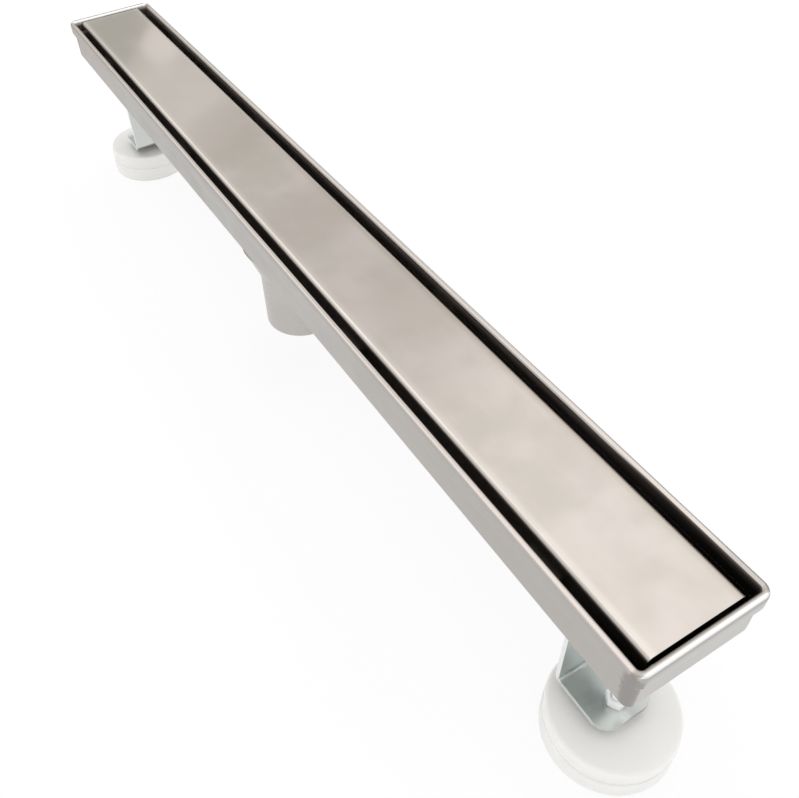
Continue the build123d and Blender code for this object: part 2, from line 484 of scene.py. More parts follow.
@dataclass(frozen=True)
class ChannelMarks:
    """What the channel has beside plain sheet: painted shade and light on the walls and rim, ground welds,
    heat tint and painted shade inside.

    A span runs from where a mark starts to where it is full. A span named along is in shares of the channel's
    half length and fleck_edge is in values of noise. The others are distances.
    """

    form: "ChannelSheet"
    patch_ripples: Ripples = (170.0, 170.0, 80.0)

    # Walls: painted shade toward both ends, a warmer rim top, painted light on the end faces
    far_tint: Colour = (0.46, 0.415, 0.38)
    far_along: Span = (-0.6, -0.85)
    near_tint: Colour = (0.455, 0.436, 0.412)
    near_along: Span = (0.1, 0.7)
    near_share: float = 0.9
    rim_tint: Colour = (0.52, 0.475, 0.44)
    rim_depth: Span = (1.2 * MM, 0.2 * MM)
    end_tint: Colour = (0.52, 0.505, 0.485)
    end_reach: Span = (2.6 * MM, 2.1 * MM)

    # Corner welds
    ground: Colour = (0.28, 0.26, 0.248)
    ground_rough: float = 0.4
    ground_share: float = 0.8
    side_weight: float = 1.7
    spread: float = 0.08
    ragged: float = 3.5 * MM
    weld_corner: Span = (9.0 * MM, 6.5 * MM)
    weld_depth: Span = (1.0 * MM, 2.6 * MM)
    scorch: Colour = (0.17, 0.15, 0.14)
    scorch_rough: float = 0.45
    scorch_share: float = 0.6
    fleck_ripples: float = 330.0
    fleck_edge: Span = (0.58, 0.66)
    seam_outer: Span = (9.5 * MM, 8.5 * MM)
    seam_inner: Span = (6.5 * MM, 7.5 * MM)
    seam_depth: Span = (4.0 * MM, 8.0 * MM)

    # Rim at both ends: painted shade and a painted highlight at the near end, painted shade on the far end's
    # edge
    worn_share: float = 0.9
    worn_lip: Colour = (0.31, 0.285, 0.258)
    lip_along: Span = (0.9, 0.95)
    lip_depth: Span = (3.5 * MM, 2.5 * MM)
    lip_reach: Span = (1.5 * MM, 3.1 * MM)
    lip_corner: Span = (6.0 * MM, 4.5 * MM)
    lip_side_share: float = 0.6
    worn_band: Colour = (0.44, 0.43, 0.415)
    band_along: Span = (0.0, 0.9)
    band_reach: Span = (1.6 * MM, 1.2 * MM)
    band_top: Span = (0.5 * MM, 0.9 * MM)
    band_foot: Span = (5.0 * MM, 2.5 * MM)
    crest: Colour = (0.84, 0.83, 0.815)
    crest_reach: Span = (2.1 * MM, 1.6 * MM)
    crest_depth: Span = (0.8 * MM, 0.5 * MM)
    outline: Colour = (0.04, 0.038, 0.036)
    outline_along: Span = (0.0, -0.9)
    outline_reach: Span = (2.7 * MM, 2.3 * MM)
    outline_depth: Span = (2.2 * MM, 1.8 * MM)

    # Heat tint round the outlet
    straw: Colour = (0.52, 0.43, 0.30)
    straw_ring: Span = (46.0 * MM, 38.0 * MM)
    blue: Colour = (0.33, 0.35, 0.42)
    blue_ring: Span = (39.0 * MM, 35.5 * MM)
    heat_height: Span = (2.0 * MM, 0.6 * MM)
    heat_ragged: float = 8.0 * MM
    heat_share: float = 0.6

    # Inside: painted shade in the trough, with a lighter band and patchy brown at the far end
    inside: Colour = (0.20, 0.175, 0.16)
    inside_rough: float = 0.4
    corner_sum: Span = (6.9 * MM, 7.3 * MM)
    end_fade: float = 1.0 * MM
    end_lift: float = 2.4 * MM
    sunk_depth: Span = (0.35 * MM, 1.3 * MM)
    right_half: Span = (-1.0 * MM, 1.0 * MM)
    edge_depth: float = 0.45 * MM
    edge_drop: float = 1.7 * MM
    edge_along: Span = (0.83, 0.63)
    leaf: Colour = (0.36, 0.305, 0.275)
    leaf_rough: float = 0.6
    leaf_depth: Span = (8.0 * MM, 1.5 * MM)
    leaf_share: float = 0.85
    soot: Colour = (0.02, 0.018, 0.016)
    soot_rough: float = 0.7
    leaf_soot_along: Span = (0.64, 0.86)
    leaf_soot_share: float = 0.78
    end_soot_along: Span = (0.84, 0.93)
    end_soot_depth: Span = (2.5 * MM, 5.0 * MM)
    stain: Colour = (0.30, 0.245, 0.215)
    stain_rough: float = 0.5
    stain_reach: float = 18.0 * MM
    stain_least: float = 0.55
    stain_patchy: float = 0.5
    pickled: Colour = (0.80, 0.79, 0.77)
    pickled_rough: float = 0.62
    pickled_reach: Span = (7.0 * MM, 4.8 * MM)
    pickled_depth: Span = (5.0 * MM, 2.2 * MM)
    pickled_edge: Span = (2.3 * MM, 2.7 * MM)

    def lay(self, steel: Surface) -> None:
        """Paints the marks.

        Args:
            steel: the sheet's surface, before it is sealed.
        """
        spot = ChannelPlace.on(steel, self.patch_ripples)
        for paint in (self.walls, self.corner_welds, self.near_rim, self.far_rim, self.heat, self.trough):
            paint(steel, spot)

    def walls(self, steel: Surface, spot: ChannelPlace) -> None:
        """Paints shade toward both ends of the walls, a warmer tone on the rim's top and painted light on the
        end faces.

        Args:
            steel: the sheet's surface.
            spot: measures on it.
        """
        # Painted shade toward the far end of the walls
        steel.paint(spot.along(self.far_along), self.far_tint)
        # Painted shade toward the near end of the walls
        steel.paint(spot.along(self.near_along) * self.near_share, self.near_tint)
        steel.paint(spot.depth.ramp(*self.rim_depth), self.rim_tint)
        # Painted light: the end faces made lighter
        steel.paint(spot.from_end.ramp(*self.end_reach), self.end_tint)

    def corner_welds(self, steel: Surface, spot: ChannelPlace) -> None:
        """Dulls the ground welds down the corners, with flecks of scorch along their edges.

        Args:
            steel: the sheet's surface.
            spot: measures on it.
        """
        step = spot.depth.ramp(self.form.band, self.form.band + self.form.shoulder) * self.form.inset
        away = (spot.from_end - step) + (spot.from_side - step) * self.side_weight
        away = away + spot.depth * self.spread + (spot.patchy - 0.5) * self.ragged
        weld = away.ramp(*self.weld_corner) * spot.depth.ramp(*self.weld_depth)
        steel.paint(weld * self.ground_share, self.ground, self.ground_rough)
        fleck = steel.noise(steel.place, (self.fleck_ripples,) * 3, detail=3.0, warp=0.5)
        seam = away.ramp(*self.seam_outer) * away.ramp(*self.seam_inner) * spot.depth.ramp(*self.seam_depth)
        scorched = seam * fleck.ramp(*self.fleck_edge)
        steel.paint(scorched * self.scorch_share, self.scorch, self.scorch_rough)

    def near_rim(self, steel: Surface, spot: ChannelPlace) -> None:
        """Paints the rim at the near end: painted shade on the lip, a painted highlight on the crest and
        painted shade on a band below it.

        Args:
            steel: the sheet's surface.
            spot: measures on it.
        """
        top = spot.depth.ramp(*self.lip_depth) * spot.along(self.lip_along)
        side = spot.y.ramp(0.0, spot.high.y / 2.0) * self.lip_side_share
        lip = spot.from_end.ramp(*self.lip_reach) * spot.from_end.ramp(*self.lip_corner).most(side)
        # Painted shade on the inner lip of the near rim
        steel.paint(lip * top * self.worn_share, self.worn_lip)
        band = spot.from_end.ramp(*self.band_reach) * spot.along(self.band_along)
        band = band * spot.depth.ramp(*self.band_top) * spot.depth.ramp(*self.band_foot)
        # Painted shade on a band of the end face just below the rim
        steel.paint(band * self.worn_share, self.worn_band)
        crest = spot.from_end.ramp(*self.crest_reach) * spot.depth.ramp(*self.crest_depth)
        # Painted highlight along the crest of the near rim
        steel.paint(crest * top * self.worn_share, self.crest)

    def far_rim(self, steel: Surface, spot: ChannelPlace) -> None:
        """Paints shade on the outer edge of the rim at the far end.

        Args:
            steel: the sheet's surface.
            spot: measures on it.
        """
        edge = spot.from_end.ramp(*self.outline_reach) * spot.depth.ramp(*self.outline_depth)
        # Painted shade: a dark line along the far rim's outer edge
        steel.paint(edge * spot.along(self.outline_along), self.outline)

    def heat(self, steel: Surface, spot: ChannelPlace) -> None:
        """Leaves straw and blue heat tint under the floor, round the outlet's weld.

        Args:
            steel: the sheet's surface.
            spot: measures on it.
        """
        ring = (spot.x * spot.x + spot.y * spot.y) ** 0.5 + (spot.patchy - 0.5) * self.heat_ragged
        below = (spot.z - spot.low.z).ramp(*self.heat_height) * self.heat_share
        steel.paint(ring.ramp(*self.straw_ring) * below, self.straw)
        steel.paint(ring.ramp(*self.blue_ring) * below, self.blue)

    def trough(self, steel: Surface, spot: ChannelPlace) -> None:
        """Paints shade inside the trough: patchy brown and a lighter band near the top at the far end,
        near-black painted shade at the near one.

        Args:
            steel: the sheet's surface.
            spot: measures on it.
        """
        form, rim = self.form, self.form.rim_width()
        walls = spot.within(form.inset + form.sheet / 2.0)
        walls = walls * (spot.from_end + spot.from_side).ramp(*self.corner_sum)
        fold = spot.within(rim / 2.0) * spot.depth.ramp(form.hem, form.hem - spot.sharp)
        above_floor = (spot.z - spot.low.z).ramp(form.sheet / 3.0, form.sheet / 2.0)
        inside = walls.most(fold) * above_floor
        end_wall = spot.from_end.ramp(rim + self.end_fade, rim)
        right = spot.y.ramp(*self.right_half)
        edge = self.edge_depth + spot.along(self.edge_along) * self.edge_drop
        leaf = (spot.depth - edge).ramp(-spot.sharp, spot.sharp) * right
        below_rim = (spot.depth - end_wall * self.end_lift).ramp(*self.sunk_depth)
        sunk = below_rim * (1.0 - right * (1.0 - end_wall))
        # Painted shade: the trough below the rim and the right leaf made dark
        steel.paint(inside * sunk.most(leaf), self.inside, self.inside_rough)
        upper_leaf = inside * leaf * spot.depth.ramp(*self.leaf_depth)
        # Painted shade on the right leaf near the top, a lighter brown than the rest
        steel.paint(upper_leaf * self.leaf_share, self.leaf, self.leaf_rough)
        near_leaf = inside * leaf * spot.along(self.leaf_soot_along)
        # Painted shade: the right leaf made near black toward the near end
        steel.paint(near_leaf * self.leaf_soot_share, self.soot, self.leaf_rough)
        from_far = spot.x + spot.high.x
        stained = from_far.ramp(self.stain_reach, self.pickled_reach[0])
        patchy = self.stain_least + spot.patchy * self.stain_patchy
        # Patchy brown inside the far end, over the painted shade
        steel.paint(inside * stained * patchy, self.stain, self.stain_rough)
        pickled = from_far.ramp(*self.pickled_reach) * spot.depth.ramp(*self.pickled_depth)
        pickled = pickled * spot.from_end.ramp(*self.pickled_edge)
        # Painted light: a lighter band near the top inside the far end
        steel.paint(inside * pickled, self.pickled, self.pickled_rough)
        sooty = spot.along(self.end_soot_along) * spot.depth.ramp(*self.end_soot_depth)
        # Painted shade: the inside made near black toward the near end
        steel.paint(inside * sooty, self.soot, self.soot_rough)


@dataclass(frozen=True)
class Patch:
    """Soft patch of painted light (light tones) and painted shade (dim tones) on the satin, leaning across
    the sheet.
    """

    middle: Point
    reach: Point
    lean: float
    tone: Colour
    strength: float

    def mask(self, x: Wire, y: Wire) -> Wire:
        """Strength of the patch at each place.

        Args:
            x: place along the sheet.
            y: place across it.

        Returns:
            The mask.
        """
        across = y - self.middle[1]
        along = (x - self.middle[0] - across * self.lean) / self.reach[0]
        across = across / self.reach[1]
        return (along * along + across * across).ramp(1.0, 0.0) * self.strength


@dataclass(frozen=True)
class CoverMarks:
    """Painted light and shade on the cover: soft patches, highlights on the long folds, shade on the right
    fold, below its top and on the cut ends.
    """

    # Painted light (bright, pale) and painted shade (the dim tones) for the patches
    bright: Colour = (0.74, 0.67, 0.62)
    pale: Colour = (0.60, 0.55, 0.50)
    dim: Colour = (0.36, 0.345, 0.295)
    warm_dim: Colour = (0.37, 0.325, 0.28)
    cool_dim: Colour = (0.355, 0.33, 0.325)
    rubbed: Colour = (0.66, 0.615, 0.57)
    rubbed_edge: Span = (6.5 * MM, 6.5 / 3.0 * MM)
    rubbed_share: float = 0.4
    right_half: Span = (0.0, 1.0 * MM)
    dull_along: Span = (-0.8, 0.3)
    dull_edge: Span = (7.0 * MM, 1.0 * MM)
    dull_share: float = 0.85
    grime: Colour = (0.20, 0.178, 0.162)
    grime_rough: float = 0.4
    grime_depth: Span = (0.6 * MM, 2.8 * MM)
    soot: Colour = (0.025, 0.023, 0.021)
    soot_rough: float = 0.7
    cut_end: Span = (0.2 * MM, 0.05 * MM)

    def lay(self, steel: Surface) -> None:
        """Paints light and shade: the patches, the folded sides, the cover below its top and the cut ends.

        Args:
            steel: the cover's surface, before it is sealed.
        """
        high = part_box("cover_panel")[1]
        x, y, z = steel.parts(steel.place)
        for patch in self.patches():
            # Painted light and painted shade in soft patches
            steel.paint(patch.mask(x, y), patch.tone)
        from_side = high.y - abs(y)
        dull = y.ramp(*self.right_half) * x.ramp(*(share * high.x for share in self.dull_along))
        # Painted highlight along the folded long sides
        steel.paint(from_side.ramp(*self.rubbed_edge) * (1.0 - dull) * self.rubbed_share, self.rubbed)
        # Painted shade along the right fold
        steel.paint(from_side.ramp(*self.dull_edge) * dull * self.dull_share, self.warm_dim)
        # Painted shade on the cover below its top
        steel.paint((high.z - z).ramp(*self.grime_depth), self.grime, self.grime_rough)
        # Painted shade: the cut ends made near black
        steel.paint((high.x - abs(x)).ramp(*self.cut_end), self.soot, self.soot_rough)

    def patches(self) -> list[Patch]:
        """Lists the larger patches of painted light and painted shade from the far end to the near one."""
        return [
            Patch((-0.325, -0.006), (0.070, 0.060), -1.3, self.dim, 0.60),
            Patch((-0.250, 0.010), (0.045, 0.060), -1.1, self.pale, 0.80),
            Patch((-0.215, -0.022), (0.110, 0.026), -0.8, self.dim, 0.40),
            Patch((-0.165, -0.006), (0.095, 0.070), -0.5, self.pale, 0.60),
            Patch((-0.274, 0.022), (0.042, 0.030), -1.1, self.bright, 0.60),
            Patch((-0.106, 0.008), (0.048, 0.060), -0.5, self.warm_dim, 0.35),
            Patch((0.022, 0.004), (0.040, 0.060), -0.3, self.warm_dim, 0.35),
            Patch((0.120, 0.014), (0.050, 0.035), -0.5, self.warm_dim, 0.30),
            Patch((0.310, 0.008), (0.110, 0.050), -0.3, self.cool_dim, 0.22),
        ]


@dataclass(frozen=True)
class StripMarks:
    """Folded strip with painted light on its cut edges, near web and plate tips, a warmer painted tone on the
    far web, and painted shade on its foot plate.
    """

    thickness: float = 2.5 * MM
    film: Colour = (0.29, 0.33, 0.32)
    film_rough: float = 0.16
    film_tip: Span = (3.0 * MM, 12.0 * MM)
    film_share: float = 0.65
    bare: Colour = (0.86, 0.88, 0.87)
    bare_rough: float = 0.3
    bare_tip: Span = (10.0 * MM, 3.0 * MM)
    bare_tip_share: float = 0.5
    bare_edge: Span = (0.5 * MM, 0.0)
    bare_web: float = 50.0 * MM
    bare_web_share: float = 0.85
    rubbed: Colour = (0.40, 0.415, 0.405)
    rubbed_across: Span = (-5.0 * MM, 3.0 * MM)
    warm: Colour = (0.72, 0.71, 0.675)
    warm_share: float = 0.6

    def lay(self, zinc: Surface) -> None:
        """Paints light and shade on the foot plates, the webs and the cut edges.

        Args:
            zinc: the strip's surface, before it is sealed.
        """
        low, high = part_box("right_bracket")
        x, y, z = zinc.parts(zinc.place)
        plate = (z - low.z).ramp(self.thickness * 2.0, self.thickness)
        from_tip = high.x - abs(x)
        # Painted shade on the foot plate away from its tip
        zinc.paint(plate * from_tip.ramp(*self.film_tip) * self.film_share, self.film, self.film_rough)
        # Painted light on the plate's tip
        zinc.paint(plate * from_tip.ramp(*self.bare_tip) * self.bare_tip_share, self.bare)
        # Painted shade on the plate toward +Y
        zinc.paint(plate * y.ramp(*self.rubbed_across), self.rubbed, self.bare_rough)
        web = 1.0 - plate
        near_web = web * x.ramp(low.x - self.bare_web, low.x)
        far_web = web * x.ramp(0.0, -low.x)
        # Painted light on the near web
        zinc.paint(near_web * self.bare_web_share, self.bare, self.bare_rough)
        # Painted light: a warmer, lighter tone on the far web only
        zinc.paint(far_web * self.warm_share, self.warm)
        # Painted highlight along the strip's cut edges
        zinc.paint((high.y - abs(y)).ramp(*self.bare_edge), self.bare, self.bare_rough)


@dataclass
class Finishes:
    """The finishes that the pieces share."""

    channel: bpy.types.Material
    outlet: bpy.types.Material
    hidden: bpy.types.Material
    cover: bpy.types.Material
    strip: bpy.types.Material
    fixing: bpy.types.Material
    plastic: bpy.types.Material
    weld: bpy.types.Material

    @classmethod
    def mix(cls) -> "Finishes":
        """Makes every finish once.

        Returns:
            The finishes, sealed.
        """
        channel = SatinSteel(
            name="channel_sheet",
            clear=(0.50, 0.48, 0.455),
            cloudy=(0.47, 0.45, 0.425),
            roughness=0.30,
            cloud_roughness=0.05,
            grain=Grain.ALONG,
        ).surface()
        ChannelMarks(ChannelSheet()).lay(channel)
        outlet = SatinSteel(
            name="drawn_outlet",
            clear=(0.56, 0.535, 0.51),
            cloudy=(0.52, 0.495, 0.47),
            roughness=0.30,
            cloud_roughness=0.05,
            grain=Grain.ROUND,
        ).surface()
        # Near-black sheet for the strainer and cover rests: painted shade for pieces that sit in the shaded
        # trough
        hidden = SatinSteel(
            name="dull_sheet",
            clear=(0.15, 0.135, 0.12),
            cloudy=(0.12, 0.105, 0.095),
            roughness=0.42,
            cloud_roughness=0.05,
            grain=Grain.ROUND,
        ).surface()
        cover = SatinSteel(
            name="satin_cover",
            clear=(0.515, 0.465, 0.43),
            cloudy=(0.44, 0.405, 0.36),
            roughness=0.30,
            cloud_roughness=0.06,
            grain=Grain.ALONG,
            grain_shade=0.02,
            grain_rough=0.03,
        ).surface()
        CoverMarks().lay(cover)
        strip = ZincPlate(
            name="zinc_plate", cool=(0.60, 0.665, 0.66), warm=(0.66, 0.69, 0.665), roughness=0.22
        ).surface()
        StripMarks().lay(strip)
        fixing = ZincPlate(
            name="bright_zinc", cool=(0.95, 0.955, 0.95), warm=(0.97, 0.965, 0.955), roughness=0.34, metal=0.1
        ).surface()
        plastic = Moulding(
            name="white_moulding",
            white=(0.93, 0.915, 0.89),
            flow=(0.91, 0.895, 0.87),
            dust=(0.85, 0.835, 0.805),
            roughness=0.30,
        ).surface()
        weld = SatinSteel(
            name="weld_metal",
            clear=(0.44, 0.40, 0.36),
            cloudy=(0.30, 0.27, 0.26),
            roughness=0.38,
            cloud_roughness=0.08,
            grain=Grain.ROUND,
        ).surface()
        surfaces = (channel, outlet, hidden, cover, strip, fixing, plastic, weld)
        return cls(*(surface.seal() for surface in surfaces))


def wear(node: str, material: bpy.types.Material) -> None:
    """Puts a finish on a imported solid.

    Args:
        node: the solid's name.
        material: its finish.
    """
    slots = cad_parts[node].data.materials
    slots.clear()
    slots.append(material)
    LOG.info("%s wears %s", node, material.name)


def in_scene(name: str, data: bpy.types.ID) -> bpy.types.Object:
    """Puts new data in the scene.

    Args:
        name: the object's name.
        data: its mesh, lamp or camera.

    Returns:
        The object.
    """
    made = bpy.data.objects.new(name, data)
    bpy.context.scene.collection.objects.link(made)
    return made


def mesh_piece(
    name: str, build: bmesh.types.BMesh, material: bpy.types.Material, crease: float = 30.0
) -> bpy.types.Object:
    """Turns built geometry into a finished piece.

    Args:
        name: the piece's name.
        build: its geometry, freed here.
        material: its finish.
        crease: angle in degrees past which an edge stays sharp.

    Returns:
        The piece, in the scene.
    """
    mesh = bpy.data.meshes.new(name)
    bmesh.ops.recalc_face_normals(build, faces=build.faces)
    build.to_mesh(mesh)
    build.free()
    mesh.shade_smooth()
    mesh.set_sharp_from_angle(angle=math.radians(crease))
    mesh.materials.append(material)
    return in_scene(name, mesh)


def ring_stack(build: bmesh.types.BMesh, rings: Sequence[Sequence[Vector]], closed: bool) -> None:
    """Joins rings of points into a skin.

    Args:
        build: geometry to add to.
        rings: rings of equal length, in order.
        closed: whether the last ring joins the first.
    """
    rows = [[build.verts.new(point) for point in ring] for ring in rings]
    count = len(rows[0])
    pairs = list(zip(rows, rows[1:]))
    if closed:
        pairs.append((rows[-1], rows[0]))
    for low, high in pairs:
        for i in range(count):
            j = (i + 1) % count
            build.faces.new((low[i], low[j], high[j], high[i]))


def arc(centre: Point, radius: float, start: float, end: float, steps: int) -> list[Point]:
    """Points on an arc.

    Args:
        centre: its middle.
        radius: its radius.
        start: angle of the first point in degrees.
        end: angle of the last point in degrees.
        steps: number of chords.

    Returns:
        The points, both ends among them.
    """
    angles = [math.radians(start + (end - start) * i / steps) for i in range(steps + 1)]
    return [(centre[0] + radius * math.cos(a), centre[1] + radius * math.sin(a)) for a in angles]


@dataclass(frozen=True)
class ChannelSheet:
    """Channel folded from one sheet: holed floor, stepped wall and open hem over the rim."""

    corner: float = 6.0 * MM
    sheet: float = 1.5 * MM
    inset: float = 2.0 * MM
    band: float = 7.8 * MM
    shoulder: float = 5.8 * MM
    fold: float = 2.0 * MM
    hem: float = 9.0 * MM
    gap: float = 1.0 * MM
    crown: float = 0.3 * MM
    margin: float = 0.5 * MM
    steps: int = 8
    bays: int = 36
    edge: float = 0.2 * MM

    def rim_width(self) -> float:
        """Width of the rim: the sheet twice and the gap in its hem."""
        return 2.0 * self.sheet + self.gap

    def slope(self, wall: float) -> list[Point]:
        """Lists the step in the wall from below, as inset and depth.

        Args:
            wall: how far the face lies inside the sheet's outer face.

        Returns:
            The points of the soft step, with one more on the flat at both ends.
        """
        shares = [1.0 - i / (self.steps * 2) for i in range(self.steps * 2 + 1)]
        curve = [(wall + self.inset * t * t * (3.0 - 2.0 * t), self.band + self.shoulder * t) for t in shares]
        below = (curve[0][0], curve[0][1] + self.edge)
        above = (curve[-1][0], curve[-1][1] - self.edge)
        return [below, *curve, above]

    def section(self, depth: float) -> list[Point]:
        """Lists the folded section as inset and depth, from under the floor over the rim to the floor's top.

        Args:
            depth: height of the channel.

        Returns:
            The points.
        """
        edge, sheet, steps = self.edge, self.sheet, self.steps
        rim = self.rim_width()
        crest = (rim - self.crown) / 2.0
        tight = (self.gap - self.crown) / 2.0
        foot = self.inset + self.fold
        inner = self.fold - sheet
        outside = [(foot + edge, depth), *arc((foot, depth - self.fold), self.fold, 90.0, 180.0, steps)]
        outside += [(self.inset, depth - self.fold - edge), *self.slope(0.0), (0.0, crest + edge)]
        over = arc((crest, crest), crest, 180.0, 270.0, steps)
        over += arc((rim - crest, crest), crest, 270.0, 360.0, steps)
        leaf = [(rim, crest + edge), (rim, self.hem - edge), (rim, self.hem), (rim - edge, self.hem)]
        leaf += [(rim - sheet + edge, self.hem), (rim - sheet, self.hem), (rim - sheet, self.hem - edge)]
        roof = sheet + tight
        gap = [(rim - sheet, roof + edge), *arc((rim - sheet - tight, roof), tight, 360.0, 270.0, steps // 2)]
        gap += [*arc((roof, roof), tight, 270.0, 180.0, steps // 2), (sheet, roof + edge)]
        inside = [*reversed(self.slope(sheet)), (self.inset + sheet, depth - sheet - inner - edge)]
        inside += arc((foot, depth - sheet - inner), inner, 180.0, 90.0, steps // 2)
        return [*outside, *over, *leaf, *gap, *inside, (foot + edge, depth - sheet)]

    def ring(self, half: Vector, inset: float, level: float) -> list[Vector]:
        """Places one ring of points round the channel.

        Args:
            half: half its length and half its width.
            inset: how far the ring lies inside the outline.
            level: its height.

        Returns:
            The points, counter-clockwise.
        """
        radius = self.corner - inset
        wide, deep = half.x - self.corner, half.y - self.corner
        first = math.atan2(half.y, wide)
        angles = [first + (math.pi - 2.0 * first) * i / self.bays for i in range(1, self.bays)]
        along = [wide - self.edge, *(half.y / math.tan(a) for a in angles), self.edge - wide]
        across = [deep - self.edge, 0.0, self.edge - deep]
        flat = arc((wide, deep), radius, 0.0, 90.0, self.steps)
        flat += [(x, deep + radius) for x in along]
        flat += arc((-wide, deep), radius, 90.0, 180.0, self.steps)
        flat += [(-wide - radius, y) for y in across]
        whole = flat + [(-x, -y) for x, y in flat]
        return [Vector((x, y, level)) for x, y in whole]

    def build(self, low: Vector, high: Vector) -> bmesh.types.BMesh:
        """Builds the channel.

        Args:
            low: lower corner of its box.
            high: upper corner of its box.

        Returns:
            The geometry.
        """
        section = self.section(high.z - low.z)
        rings = [self.ring(high, inset, high.z - depth) for inset, depth in section]
        hole = high.y - self.inset - self.fold - self.margin

        def mouth(ring: Sequence[Vector]) -> list[Vector]:
            """Draws a floor ring in to the hole over the outlet."""
            return [Vector((*(point.xy.normalized() * hole), point.z)) for point in ring]

        build = bmesh.new()
        ring_stack(build, [mouth(rings[0]), *rings, mouth(rings[-1])], True)
        return build


@dataclass
class HexNut:
    """Hex nut with chamfered corners and a countersunk hole."""

    flats: float
    height: float
    hole: float
    segments: int = 72
    land_share: float = 0.96
    corner_slope: float = math.radians(30.0)
    countersink: float = 0.45 * MM

    def rim(self, angle: float) -> float:
        """Measures from the axis to the hexagon's side.

        Args:
            angle: way to look in, in radians.

        Returns:
            The distance.
        """
        sixth = FULL_TURN / 6.0
        turned = (angle + sixth / 2.0) % sixth - sixth / 2.0
        return self.flats / 2.0 / math.cos(turned)

    def build(self, centre: Vector) -> bmesh.types.BMesh:
        """Builds the nut.

        Args:
            centre: its middle.

        Returns:
            The geometry.
        """
        half = self.height / 2.0
        land = self.flats / 2.0 * self.land_share
        angles = [FULL_TURN * i / self.segments for i in range(self.segments)]

        def ring(radii: Sequence[float], levels: Sequence[float]) -> list[Vector]:
            """Places one ring of points about the nut's axis."""
            spots = zip(angles, radii, levels)
            return [centre + Vector((r * math.cos(a), r * math.sin(a), z)) for a, r, z in spots]

        def level_ring(radius: float, level: float) -> list[Vector]:
            """Places a plain round ring."""
            return ring([radius] * self.segments, [level] * self.segments)

        rims = [self.rim(angle) for angle in angles]
        drops = [half - max(0.0, r - land) * math.tan(self.corner_slope) for r in rims]
        wide = self.hole + self.countersink
        rings = [
            level_ring(self.hole, half - self.countersink),
            level_ring(wide, half),
            level_ring(land, half),
            ring(rims, drops),
            ring(rims, [-drop for drop in drops]),
            level_ring(land, -half),
            level_ring(wide, -half),
            level_ring(self.hole, self.countersink - half),
        ]
        build = bmesh.new()
        ring_stack(build, rings, True)
        return build


class PieceTree:
    """Geometry Nodes tree whose result becomes a plain mesh."""

    NAME = "piece"
    SIZES: tuple[str, ...] = ()

    def __init__(self) -> None:
        """Writes the tree: sizes, place and finish go in, one finished geometry comes out."""
        self.tree = bpy.data.node_groups.new(self.NAME, "GeometryNodeTree")
        graph = Graph(self.tree)
        face = self.tree.interface
        face.new_socket("Geometry", in_out="OUTPUT", socket_type="NodeSocketGeometry")
        kinds = {name: "NodeSocketFloat" for name in self.SIZES}
        kinds.update(Base="NodeSocketVector", Metal="NodeSocketMaterial")
        self.keys = {}
        for name, kind in kinds.items():
            self.keys[name] = face.new_socket(name, in_out="INPUT", socket_type=kind).identifier
        entry = graph.node("NodeGroupInput").socket.node
        given = {name: Wire(graph, graph.pick(entry.outputs, key)) for name, key in self.keys.items()}
        shape = self.shape(graph, given)
        placed = graph.node("GeometryNodeTransform", None, {"Geometry": shape, "Translation": given["Base"]})
        whole = graph.node("GeometryNodeRealizeInstances", None, {"Geometry": placed})
        dressed = graph.node("GeometryNodeSetMaterial", None, {"Geometry": whole, "Material": given["Metal"]})
        graph.node("NodeGroupOutput", None, {"Geometry": dressed})

    def shape(self, graph: Graph, given: dict[str, Wire]) -> Wire:
        """Writes the nodes of the shape.

        Args:
            graph: the tree to write in.
            given: the tree's inputs by name.

        Returns:
            The geometry, about its base point.
        """
        raise NotImplementedError

    def mesh(self, base: Vector, values: dict[str, float], metal: bpy.types.Material) -> bpy.types.Mesh:
        """Makes one piece as a plain mesh.

        Args:
            base: where its base point goes.
            values: the tree's sizes in metres.
            metal: its finish.

        Returns:
            The mesh.
        """
        carrier = in_scene(self.NAME, bpy.data.meshes.new(self.NAME))
        modifier = carrier.modifiers.new(self.NAME, "NODES")
        modifier.node_group = self.tree
        for name, value in {**values, "Base": list(base), "Metal": metal}.items():
            modifier[self.keys[name]] = value
        graph = bpy.context.evaluated_depsgraph_get()
        mesh = bpy.data.meshes.new_from_object(carrier.evaluated_get(graph))
        bpy.data.objects.remove(carrier)
        mesh.shade_smooth()
        return mesh


class ThreadTree(PieceTree):
    """Threaded rod: a helical groove pressed into a fine cylinder, based on its lower end."""

    NAME = "screw_thread"
    SIZES = ("Length", "Radius", "Pitch", "Depth")
    SIDES = 28
    RINGS_PER_PITCH = 8.0
    FLANK: Span = (0.1, 0.9)

    def shape(self, graph: Graph, given: dict[str, Wire]) -> Wire:
        """Writes the rod.

        Args:
            graph: the tree to write in.
            given: the tree's inputs by name.

        Returns:
            The rod.
        """
        length, radius, pitch, depth = (given[name] for name in self.SIZES)
        rings = length / pitch * self.RINGS_PER_PITCH
        rod = graph.node(
            "GeometryNodeMeshCylinder",
            {"fill_type": "TRIANGLE_FAN"},
            {"Vertices": self.SIDES, "Side Segments": rings, "Radius": radius, "Depth": length},
            "Mesh",
        )
        x, y, z = graph.parts(graph.node("GeometryNodeInputPosition"))
        turn = y.angle_with(x) / FULL_TURN
        groove = abs((z / pitch - turn).fraction() - 0.5) * 2.0
        tip = 1.0 - ((length / 2.0 - abs(z)) / depth).least(1.0)
        cut = (groove.ramp(*self.FLANK) * depth).most(tip * depth)
        narrow = 1.0 - cut / radius
        raised = z + length / 2.0
        pressed = graph.node("ShaderNodeCombineXYZ", None, {0: x * narrow, 1: y * narrow, 2: raised})
        return graph.node("GeometryNodeSetPosition", None, {"Geometry": rod, "Position": pressed})


